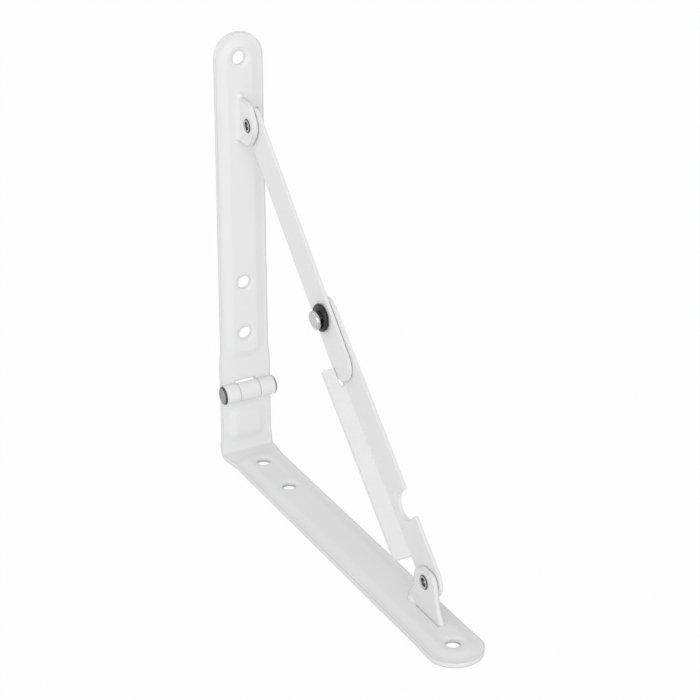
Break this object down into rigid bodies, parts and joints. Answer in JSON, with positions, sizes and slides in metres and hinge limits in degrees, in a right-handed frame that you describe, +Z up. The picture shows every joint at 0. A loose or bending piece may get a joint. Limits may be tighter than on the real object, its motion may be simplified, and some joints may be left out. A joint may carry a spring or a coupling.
{
  "type": "folding shelf bracket",
  "caption": "Folding steel shelf bracket: a white wall arm and a white level shelf arm hinged at the corner, held open by a two-part strut with a knee.",
  "frame": {"origin": "outer corner of the open bracket at mid width, where the plane of the wall face meets the plane of the underside", "axes": "+X along the level shelf arm, +Z up along the wall arm, Y across the arms"},
  "size_m": [0.2004, 0.0262, 0.2015],
  "materials": {
    "arm_steel": "white powder coat on sheet steel, semi-matt",
    "strut_steel": "white powder coat on sheet steel, semi-matt",
    "pin_steel": "plated steel pin, dull ends",
    "rivet_steel": "plated tubular rivet",
    "button_steel": "nickel plated rivet head, soft polish",
    "black_rubber": "matt black rubber"
  },
  "bodies": {
    "shelf_arm": {"shelf_arm": "arm_steel", "lower_rivet": "rivet_steel"},
    "wall_arm": {"wall_arm": "arm_steel", "hinge_pin": "pin_steel", "upper_rivet": "rivet_steel"},
    "upper_strut": {"upper_strut": "strut_steel", "knee_button": "button_steel", "rubber_ring": "black_rubber"},
    "lower_strut": {"lower_strut": "strut_steel"}
  },
  "joints": [
    {"name": "fold", "type": "hinge", "parent": "shelf_arm", "child": "wall_arm", "pos_m": [0.00435, 0, 0.03305], "axis": [0, 1, 0], "range_deg": [0, 8]},
    {"name": "upper_strut_pivot", "type": "hinge", "parent": "wall_arm", "child": "upper_strut", "pos_m": [0.01195, 0, 0.16305], "axis": [0, 1, 0], "range_deg": [0, 20.16]},
    {"name": "knee", "type": "hinge", "parent": "upper_strut", "child": "lower_strut", "pos_m": [0.0755, 0, 0.09854], "axis": [0, -1, 0], "range_deg": [0, 43.84]}
  ],
  "couplings": [
    {"joint": "upper_strut_pivot", "follows": "fold", "ratio": 2.52},
    {"joint": "knee", "follows": "fold", "ratio": 5.48}
  ]
}
